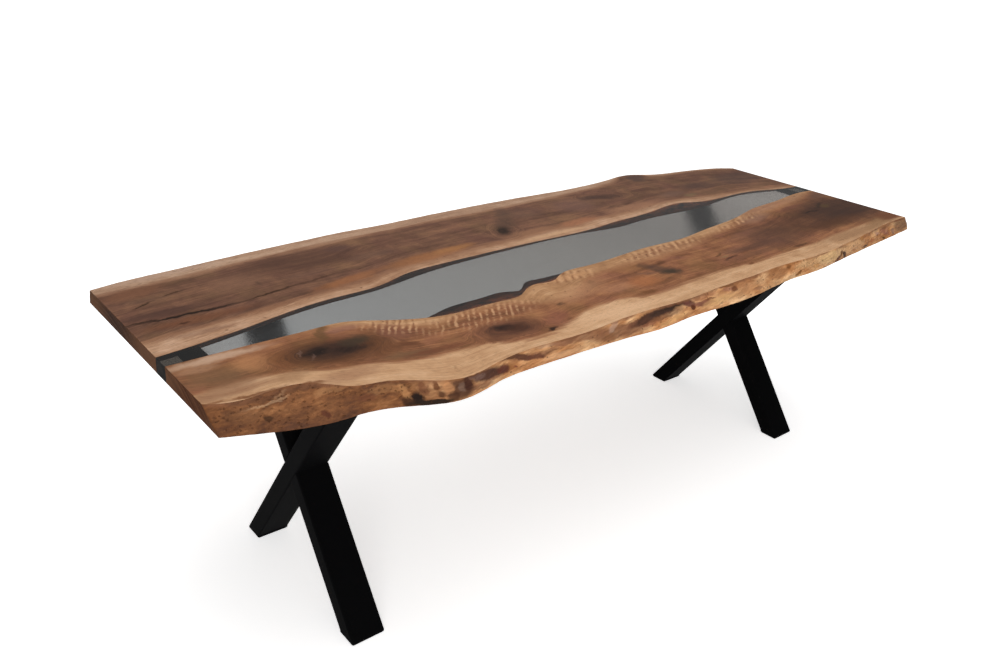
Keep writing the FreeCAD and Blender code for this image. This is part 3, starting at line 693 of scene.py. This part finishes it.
# %% End grain, routed wood and bank
def end_grain(name, pith, middle, dark, pale):
    """Ring arcs about the pith (y, z), paler towards both sides of the board's middle y."""
    material, tree, shader = new_material(name, Roughness=0.7, IOR=1.5, Specular_IOR_Level=0.02)
    place = node(tree, "TexCoord", {}, give="Object")
    flat = node(tree, "Mapping", {"Vector": place, "Location": (0, -pith[0], -pith[1]), "Scale": (0, 1, 1)})
    radius = node(tree, "VectorMath", {0: flat}, give="Value", operation="LENGTH")
    spread = node(tree, "CombineXYZ", {0: radius})
    rings = node(tree, "TexNoise", {"Vector": spread, "Scale": 80, "Detail": 3})
    fine = node(tree, "TexNoise", {"Vector": place, "Scale": 450, "Detail": 2})
    tone = node(tree, "Mix", {0: 0.30, 2: rings, 3: fine})
    colour = node(tree, "ValToRGB", {0: tone}, stops=[(0.38, dark), (0.62, pale)])
    y = node(tree, "SeparateXYZ", {0: place}, give=1)
    off = node(tree, "Math", {0: y, 1: middle}, operation="SUBTRACT")
    off = node(tree, "Math", {0: off}, operation="ABSOLUTE")
    sap = node(tree, "MapRange", {0: off, 1: 40 * MM, 2: 150 * MM, 4: 0.5})
    colour = node(tree, "Mix", {0: sap, 6: colour, 7: "#8a6146"}, **OVERLAY)
    tree.links.new(colour, shader.inputs["Base Color"])
    bump = node(tree, "Bump", {"Height": fine, "Strength": 0.3, "Distance": 0.3 * MM})
    tree.links.new(bump, shader.inputs["Normal"])
    return material


def rough_brown(name, dark, pale, lump_mm, depth_mm):
    """Rough brown wood or bark, its lumps given in millimetres."""
    material, tree, shader = new_material(name, Roughness=0.7, IOR=1.5)
    place = node(tree, "TexCoord", {}, give="Object")
    stretched = node(tree, "Mapping", {"Vector": place, "Scale": (0.5, 1, 1)})
    lumps = node(tree, "TexNoise", {"Vector": stretched, "Scale": 1 / (lump_mm * MM), "Detail": 5})
    colour = node(tree, "ValToRGB", {0: lumps}, stops=[(0.35, dark), (0.65, pale)])
    tree.links.new(colour, shader.inputs["Base Color"])
    bump = node(tree, "Bump", {"Height": lumps, "Strength": 0.8, "Distance": depth_mm * MM})
    tree.links.new(bump, shader.inputs["Normal"])
    return material


front_end = end_grain("walnut_end_grain_front", (0.0, 0.35), -0.24, "#3c2114", "#744a31")
back_end = end_grain("walnut_end_grain_back", (0.3, 0.30), 0.19, "#2f1c13", "#5c4031")
bank = rough_brown("inner_bark_under_resin", "#421d0a", "#9f5428", 30, 3)
routed = rough_brown("routed_walnut", "#5c4030", "#7d5b45", 4, 0.2)
print("other faces of the boards:", [made.name for made in (front_end, back_end, bank, routed)])

# %% [markdown]
# ## Resin
#
# Cast epoxy tinted with a little black dye. It is a clear solid, so its grey comes from light
# being absorbed on the way through, and the longer the line of sight the darker it looks. Its
# tint along the table is not even: the last few centimetres at both ends are darkened as painted
# shade of the steel channels and their grooves, and the lighter and darker stretches between are
# painted light and shade. The polished top keeps a sharp reflection, and the underside is only
# sanded, so what is seen through it is blurred. The sawn ends are sanded too, and are painted
# near black: painted shade for the dark channel seen through them.

# %% Smoke-grey epoxy
POLISHED, SANDED = 0.03, 0.22       # roughness of the top and of the underside

resin, tree, shader = new_material("smoke_grey_epoxy", IOR=1.5, Transmission_Weight=0.99)
place = node(tree, "TexCoord", {}, give="Object")
x = node(tree, "SeparateXYZ", {0: place}, give=0)
along = node(tree, "MapRange", {0: x, 1: -SPAN_X, 2: SPAN_X})
# Painted shade: the ends past the channels are dark, and the lighter and darker stretches between paint the
# light through the resin.
dye_and_painted_shading = node(tree, "ValToRGB", {0: along}, stops=[
    (0.0, "#6e655c"), (1.0, "#938880"), (0.035, "#6e655c"), (0.05, "#e0dedc"), (0.10, "#e5e6e6"),
    (0.50, "#ded9d3"), (0.64, "#d7d1cb"), (0.80, "#eae1da"), (0.88, "#fff6ee"), (0.945, "#fff4ec"),
    (0.965, "#938880")])
tree.links.new(dye_and_painted_shading, shader.inputs["Base Color"])
z = node(tree, "SeparateXYZ", {0: place}, give=2)
finish = node(tree, "MapRange", {0: z, 1: underside + 0.5 * MM, 2: underside + 1.5 * MM,
                                 3: SANDED, 4: POLISHED})
tree.links.new(finish, shader.inputs["Roughness"])
smoke = node(tree, "VolumeAbsorption", {"Color": "#8b8d8d", "Density": 32.0})
tree.links.new(smoke, next(n for n in tree.nodes if n.type == "OUTPUT_MATERIAL").inputs["Volume"])

resin_cut, tree, shader = new_material("sawn_smoke_epoxy", Roughness=0.75, IOR=1.5, Specular_IOR_Level=0.05)
# Painted shade: the sawn and routed resin is near black, for the dark channel and groove seen through it.
painted_shade_seen_through = node(tree, "TexNoise", {"Vector": node(tree, "TexCoord", {}, give="Object"), "Scale": 60, "Detail": 3})
painted_shade_seen_through = node(tree, "ValToRGB", {0: painted_shade_seen_through}, stops=[(0.35, "#131110"), (0.65, "#2a2624")])
tree.links.new(painted_shade_seen_through, shader.inputs["Base Color"])
print("resin:", resin.name, "and", resin_cut.name)

# %% [markdown]
# ## Steel, zinc and rubber
#
# The frames are powder coated: black, satin, with a fine orange peel about 2 mm across. The
# fasteners are small and mostly hidden, and keep plain metal finishes.

# %% Finishes for the CAD pieces
def fine_finish(name, code, grain_mm, depth_mm, **settings):
    """A plain finish with a fine surface texture, its grain given in millimetres."""
    material, tree, shader = new_material(name, **settings)
    place = node(tree, "TexCoord", {}, give="Object")
    grain = node(tree, "TexNoise", {"Vector": place, "Scale": 1 / (grain_mm * MM), "Detail": 2})
    shade = node(tree, "MapRange", {0: grain, 3: 0.8, 4: 1.2})
    mottled = node(tree, "VectorMath", {0: linear(code)[:3], "Scale": shade}, operation="SCALE")
    tree.links.new(mottled, shader.inputs["Base Color"])
    bump = node(tree, "Bump", {"Height": grain, "Strength": 0.3, "Distance": depth_mm * MM})
    tree.links.new(bump, shader.inputs["Normal"])
    return material


FINISHES = {
    "frame_powder_coat": fine_finish("black_powder_coat", "#0b0b0c", 2.0, 0.05, Roughness=0.65,
                                     Specular_IOR_Level=0.01),
    # The channel's black is darker than the frames': part paint, part painted shade for the dark it lies in
    # under the resin.
    "channel_steel": fine_finish("black_channel_with_painted_shade", "#050506", 2.0, 0.05, Roughness=0.6,
                                 Specular_IOR_Level=0.05),
    "bolt_black_oxide": fine_finish("black_oxide_steel", "#2a2a2c", 0.8, 0.02, Roughness=0.35, Metallic=1),
    "washer_zinc": fine_finish("zinc_plated_steel", "#b9bcc0", 0.8, 0.02, Roughness=0.3, Metallic=1),
    "insert_zinc": fine_finish("cast_zinc_alloy", "#b5b1a6", 0.8, 0.03, Roughness=0.45, Metallic=1),
    "foot_rubber": fine_finish("moulded_black_rubber", "#161616", 1.5, 0.08, Roughness=0.75),
}
nodes = frame["nodes"]
for part in frame["record"]["subparts"]:
    finish = FINISHES.get(part["material_slot"])
    slots = nodes[part["node"]].data.materials
    for index in range(len(slots)):
        slots[index] = finish or slots[index]
print(len(FINISHES), "finishes on the CAD pieces")

# %% [markdown]
# ## Working on a mesh from a script
#
# Edit mode acts on whatever is selected, so each step starts from nothing selected, picks
# edges or faces by where they are, and then calls the operator, as a hand would.

# %% Helpers for modelling
def start_on(piece):
    """Leave edit mode, select only this piece and make it active."""
    if bpy.context.mode != "OBJECT":
        bpy.ops.object.mode_set(mode="OBJECT")
    bpy.ops.object.select_all(action="DESELECT")
    if piece:
        bpy.context.view_layer.objects.active = piece
        piece.select_set(True)


def pick(piece, kind, test):
    """Enter edit mode with only the edges or faces selected that pass the test."""
    start_on(piece)
    bpy.ops.object.mode_set(mode="EDIT")
    bpy.ops.mesh.select_mode(type={"edges": "EDGE", "polygons": "FACE"}[kind])
    bpy.ops.mesh.select_all(action="DESELECT")
    bpy.ops.object.mode_set(mode="OBJECT")
    corners = [v.co for v in piece.data.vertices]
    chosen = [e for e in getattr(piece.data, kind) if test([corners[i] for i in e.vertices])]
    for element in chosen:
        element.select = True
    bpy.ops.object.mode_set(mode="EDIT")
    return len(chosen)


def along_axis(axis):
    """A test for edges that run along one axis."""
    def test(ends):
        step = ends[1] - ends[0]
        return abs(step[axis]) > 0.9 * step.length
    return test


def bake_modifier(piece, kind, **settings):
    """Add a modifier, set it and apply it."""
    start_on(piece)
    modifier = piece.modifiers.new(kind.lower(), kind)
    for name, value in settings.items():
        setattr(modifier, name, value)
    bpy.ops.object.modifier_apply(modifier=modifier.name)


def resize(piece, factors, centre):
    """Scale a piece about a place and apply it, so that the object itself stays unscaled."""
    start_on(piece)
    bpy.ops.transform.resize(value=factors, center_override=centre)
    bpy.ops.object.transform_apply(location=True, rotation=True, scale=True)


def add_group(piece, name, weight_of):
    """A vertex group whose weight is worked out from each vertex's place."""
    group = piece.vertex_groups.new(name=name)
    for vertex in piece.data.vertices:
        weight = weight_of(vertex.co)
        if weight > 0:
            group.add([vertex.index], weight, "REPLACE")


# %% [markdown]
# ## The sliced block
#
# A board starts as a block the size of the CAD slab, cut into slices about 3 mm long and into
# layers through its thickness. Subdivide makes at most a hundred cuts, so the slices take two
# rounds: 40 lengths, then each into 20. Later on, shrinkwrap pulls both long sides in sideways
# until they meet the CAD slab, which gives the block its waney outline. The block is a hair
# smaller than the slab until then, because a sideways ray that grazes a flat face finds nothing.

# %% Slice a block and wrap it
SKIN = 0.1 * MM


def box_block(name, middle, size):
    """A plain block, its place and size in its mesh."""
    start_on(None)
    bpy.ops.mesh.primitive_cube_add(size=1, location=middle)
    piece = bpy.context.object
    piece.name = name
    bpy.ops.transform.resize(value=size)
    bpy.ops.object.transform_apply(location=True, rotation=True, scale=True)
    return piece


def sliced_block(name, target, rounds, layers):
    low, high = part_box(target)
    size = high - low
    piece = box_block(name, (low + high) / 2, (size.x - 2 * SKIN, size.y, size.z - 2 * SKIN))
    for cuts in rounds:
        pick(piece, "edges", along_axis(0))
        bpy.ops.mesh.subdivide(number_cuts=cuts)
    pick(piece, "edges", along_axis(2))
    bpy.ops.mesh.subdivide(number_cuts=layers - 1)
    bpy.ops.object.mode_set(mode="OBJECT")
    return piece, low, high


def wrap_sideways(piece, target, low, high):
    """Pull the long sides onto the CAD slab, then stretch the block to the slab's own size."""
    bake_modifier(piece, "SHRINKWRAP", target=nodes[target], wrap_method="PROJECT", use_project_y=True,
                  use_negative_direction=True, use_positive_direction=True)
    size = high - low
    resize(piece, (size.x / (size.x - 2 * SKIN), 1, size.z / (size.z - 2 * SKIN)), (low + high) / 2)


# %% [markdown]
# ## The two boards
#
# While the block is still plain, each face knows what it will become, so the materials, the
# grain map and the vertex groups are given before the wrap. The groups say where the relief
# will act: fully at half thickness and less at the rims, which sandpaper has evened out.

# %% Make the boards
FACE, OUTER, BANK, END = range(4)
BOARD_ROUNDS, BOARD_LAYERS = (39, 19), 12
RIM_RELIEF = 0.4


def board_block(name, target, outer_side, materials):
    """Sliced block with materials, grain map and groups. outer_side is -1 at the front, 1 at the back."""
    piece, low, high = sliced_block(name, target, BOARD_ROUNDS, BOARD_LAYERS)
    for material in materials:
        piece.data.materials.append(material)
    middle_y = (low.y + high.y) / 2
    grain = piece.data.uv_layers.new(name="grain")
    for polygon in piece.data.polygons:
        normal = polygon.normal
        if abs(normal.z) > 0.5:
            polygon.material_index = FACE
        elif abs(normal.x) > 0.5:
            polygon.material_index = END
        else:
            polygon.material_index = OUTER if normal.y * outer_side > 0 else BANK
        for corner in polygon.loop_indices:
            spot = piece.data.vertices[piece.data.loops[corner].vertex_index].co
            grain.data[corner].uv = (spot.x, 0.0 if (spot.y - middle_y) * outer_side > 0 else 1.0)

    def level(spot):
        depth = (high.z - spot.z) / (high.z - low.z)
        return RIM_RELIEF + (1 - RIM_RELIEF) * min(1, 4 * min(depth, 1 - depth))

    add_group(piece, "outer", lambda s: level(s) if (s.y - middle_y) * outer_side > 0 else 0)
    add_group(piece, "bank", lambda s: level(s) if (s.y - middle_y) * outer_side < 0 else 0)
    wrap_sideways(piece, target, low, high)
    print(name, len(piece.data.polygons), "faces")
    return piece


front = board_block("front_board", "front_slab", -1, (front_face, front_edge, bank, front_end))
back = board_block("back_board", "back_slab", 1, (back_face, back_edge, bank, back_end))
BOARDS = ((front, -1), (back, 1))

# %% [markdown]
# ## Relief on the waney edges
#
# Bark leaves the wood under it lumpy. Displace pushes the outer side in and out along Y by
# two sizes of noise: broad swells about 55 mm long and knobs about 16 mm. The middle level is
# set high, so that most of the push goes inwards and the board keeps within its outline. The
# bank gets a weaker version, and only inwards, so that the resin still covers it.

# %% Push the edges in and out
def noise_texture(name, size):
    texture = bpy.data.textures.new(name, "CLOUDS")
    texture.noise_scale = size
    texture.noise_depth = 2
    return texture


swell = noise_texture("bark_swell", 55 * MM)
knob = noise_texture("bark_knob", 16 * MM)
RELIEF = (                          # group, texture, middle level and strength
    ("outer", swell, 0.725, 7 * MM), ("outer", knob, 0.725, 3.5 * MM),
    ("bank", swell, 1.0, -3 * MM), ("bank", knob, 1.0, -2 * MM))
for piece, outer_side in BOARDS:
    for group, texture, middle, strength in RELIEF:
        bake_modifier(piece, "DISPLACE", texture=texture, direction="Y", texture_coords="LOCAL",
                      vertex_group=group, mid_level=middle, strength=strength * outer_side)
    reach = max(v.co.y * outer_side for v in piece.data.vertices)
    print(piece.name, "reaches", round(reach / MM, 1), "mm from the table's middle")

# %% [markdown]
# ## Eased rims
#
# A maker takes the sharp corner off the outer rim and the sawn ends with sandpaper. The bank
# stays square, because there the wood and the resin are sanded flush together.

# %% Bevel the outer rims
RIM_RADIUS = 1.2 * MM
PAST_BANK = 120 * MM                # a rim this far from the bank is an outer one
half_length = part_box("front_slab")[1].x


def outer_rim(piece, outer_side):
    """A test for the rim edges of the outer side and of the sawn ends."""
    banks = {}
    for vertex in piece.data.vertices:
        slice_x = round(vertex.co.x, 4)
        banks[slice_x] = min(banks.get(slice_x, math.inf), vertex.co.y * outer_side)

    def test(ends):
        a, b = ends
        if not any(abs(a.z - z) < 1e-5 and abs(b.z - z) < 1e-5 for z in (table_top, underside)):
            return False
        if abs(a.x - b.x) < 1e-4:
            return abs(a.x) > half_length - 1e-4
        return all(end.y * outer_side > banks[round(end.x, 4)] + PAST_BANK for end in ends)
    return test


for piece, outer_side in BOARDS:
    count = pick(piece, "edges", outer_rim(piece, outer_side))
    bpy.ops.mesh.bevel(offset=RIM_RADIUS, segments=2, profile=0.6, affect="EDGES")
    bpy.ops.object.mode_set(mode="OBJECT")
    print(piece.name, count, "rim edges eased")

# %% [markdown]
# ## The river
#
# The resin is cast against the banks, so it is made the same way from its own CAD solid. Its
# sides then swell 5 mm into the wood, which leaves no gap behind the rough banks, and its top
# sits 0.15 mm under the wood's, too little to see. Its slightly twisted squares are split
# into triangles, so that the grooves cut later leave no thin flaps on it.

# %% Cast the river
RIVER_ROUNDS, RIVER_LAYERS = (39, 7), 4
SWELL = 5 * MM
FLUSH = 0.15 * MM

river, low, high = sliced_block("river", "river_resin", RIVER_ROUNDS, RIVER_LAYERS)
river.data.materials.append(resin)
river.data.materials.append(resin_cut)
for polygon in river.data.polygons:
    polygon.material_index = int(abs(polygon.normal.x) > 0.5)
middle_y = (low.y + high.y) / 2
add_group(river, "front_side", lambda s: 1 if s.y < middle_y else 0)
add_group(river, "back_side", lambda s: 1 if s.y > middle_y else 0)
wrap_sideways(river, "river_resin", low, high)
for group, reach in (("front_side", -SWELL), ("back_side", SWELL)):
    bake_modifier(river, "DISPLACE", direction="Y", vertex_group=group, mid_level=0, strength=reach)
size = high - low
resize(river, ((size.x - 2 * FLUSH) / size.x, 1, (size.z - 2 * FLUSH) / size.z), (low + high) / 2)
pick(river, "polygons", lambda corners: True)
bpy.ops.mesh.quads_convert_to_tris()
bpy.ops.object.mode_set(mode="OBJECT")
print("river", len(river.data.polygons), "faces,", sum(p.material_index for p in river.data.polygons), "sawn")

# %% [markdown]
# ## Grooves for the end channels
#
# Each steel channel lies in a groove routed across both boards and the resin. A cutter block
# a little larger than the channel is subtracted from all three, and each keeps its own material
# on the routed faces. The cut can leave slivers a few hundredths of a millimetre wide, so
# corners that close together are merged.

# %% Rout the grooves
PLAY = 0.3 * MM                     # on each side of the channel
HEADROOM = 0.2 * MM                 # over its web
BELOW = 5 * MM                      # the cutter starts under the wood
SLIVER = 0.05 * MM

for side in ("left", "right"):
    low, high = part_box(side + "_end_channel")
    top, bottom = high.z + HEADROOM, underside - BELOW
    cutter = box_block("cutter", ((low.x + high.x) / 2, 0, (top + bottom) / 2),
                       (high.x - low.x + 2 * PLAY, high.y - low.y + 2 * PLAY, top - bottom))
    for piece, cut_face in ((front, routed), (back, routed), (river, resin_cut)):
        cutter.data.materials.clear()
        cutter.data.materials.append(cut_face)
        bake_modifier(piece, "BOOLEAN", object=cutter, operation="DIFFERENCE", solver="EXACT",
                      material_mode="TRANSFER")
    print(side, "groove", [round(v / MM, 1) for v in cutter.dimensions], "mm with its run-in")
    bpy.data.objects.remove(cutter)
for piece in (front, back, river):
    pick(piece, "polygons", lambda corners: True)
    bpy.ops.mesh.remove_doubles(threshold=SLIVER)
    bpy.ops.object.mode_set(mode="OBJECT")

# %% [markdown]
# ## Shading
#
# The faces are flat and stay flat shaded. The waney sides are smooth shaded, so that the 3 mm
# slices don't show as facets.

# %% Smooth the rough sides only
FLAT = 0.999                        # a normal this close to an axis belongs to a flat face

for piece, cad_node in ((front, "front_slab"), (back, "back_slab"), (river, "river_resin")):
    for polygon in piece.data.polygons:
        polygon.use_smooth = abs(polygon.normal.z) < FLAT and abs(polygon.normal.x) < FLAT
    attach(piece, "root")
    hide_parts(cad_node)
    print(piece.name, "stands for", cad_node, "with", len(piece.data.polygons), "faces")

# %% [markdown]
# ## Floor
#
# A plain white floor. It shows white to the camera, in reflections and through the resin,
# a little less so near the table, where it keeps the table's soft shadow.

# %% White floor
FLOOR_SIZE = 600                    # metres, so that its rim never shows
SHADED, CLEAR = 0.8, 2.6            # metres from the middle where the shadow is kept, and is gone

start_on(None)
bpy.ops.mesh.primitive_plane_add(size=FLOOR_SIZE, location=(0, 0, 0))
floor = bpy.context.object
floor.name = "studio_floor"
floor_material = bpy.data.materials.new("white_floor_paint")
floor_material.use_nodes = True
tree = floor_material.node_tree
tree.nodes.clear()
path = node(tree, "LightPath", {}).node
seen = node(tree, "Math", {0: path.outputs["Is Camera Ray"], 1: path.outputs["Is Glossy Ray"]},
            operation="ADD")
seen = node(tree, "Math", {0: seen, 1: path.outputs["Is Transmission Ray"]}, operation="ADD", use_clamp=True)
from_table = node(tree, "VectorMath", {0: node(tree, "TexCoord", {}, give="Object")}, give="Value",
                  operation="LENGTH")
white_share = node(tree, "MapRange", {0: from_table, 1: SHADED, 2: CLEAR, 3: 0.6, 4: 1.0})
glow = node(tree, "Math", {0: seen, 1: white_share}, operation="MULTIPLY")
painted = node(tree, "BsdfDiffuse", {"Color": "#f4f4f4"})
white = node(tree, "Emission", {"Color": "#ffffff", "Strength": glow})
node(tree, "OutputMaterial", {"Surface": node(tree, "AddShader", {0: painted, 1: white})})
floor.data.materials.append(floor_material)
print("floor", FLOOR_SIZE, "m wide")

# %% [markdown]
# ## Light
#
# Plain soft light: two large soft boxes, one overhead and one at the front left, with a pale
# surround, light the table so that a colour renders about as it is written. The surround
# shows white to the camera and through the resin, and only faintly in a sheen, because a satin
# finish under a fully white room would look milky.

# %% Surround and lamps
SURROUND = 0.15
SHEEN = 0.05                        # what shiny faces see on top of that

world = bpy.data.worlds.new("studio")
world.use_nodes = True
bpy.context.scene.world = world
tree = world.node_tree
tree.nodes.clear()
path = node(tree, "LightPath", {}).node
seen = node(tree, "Math", {0: path.outputs["Is Camera Ray"], 1: path.outputs["Is Transmission Ray"]},
            operation="ADD", use_clamp=True)
strength = node(tree, "MapRange", {0: seen, 3: SURROUND, 4: 1.0})
strength = node(tree, "Math", {0: path.outputs["Is Glossy Ray"], 1: SHEEN, 2: strength},
                operation="MULTIPLY_ADD")
node(tree, "OutputWorld", {"Surface": node(tree, "Background", {"Color": "#ffffff", "Strength": strength})})

SOFT_BOXES = (                      # name, place, aim, width in metres and watts
    ("overhead_soft_box", (0.1, -0.2, 3.8), (0, 0, 0.7), 4.0, 106),
    ("front_soft_box", (-3.0, -3.6, 1.9), (0, 0, 0.6), 2.4, 92))
for name, place, aim, width, watts in SOFT_BOXES:
    lamp_data = bpy.data.lights.new(name, "AREA")
    lamp_data.energy, lamp_data.size = watts, width
    lamp = bpy.data.objects.new(name, lamp_data)
    lamp.location = place
    lamp.rotation_euler = (Vector(aim) - Vector(place)).to_track_quat("-Z", "Y").to_euler()
    bpy.context.scene.collection.objects.link(lamp)
    print(name, width, "m wide,", watts, "W")
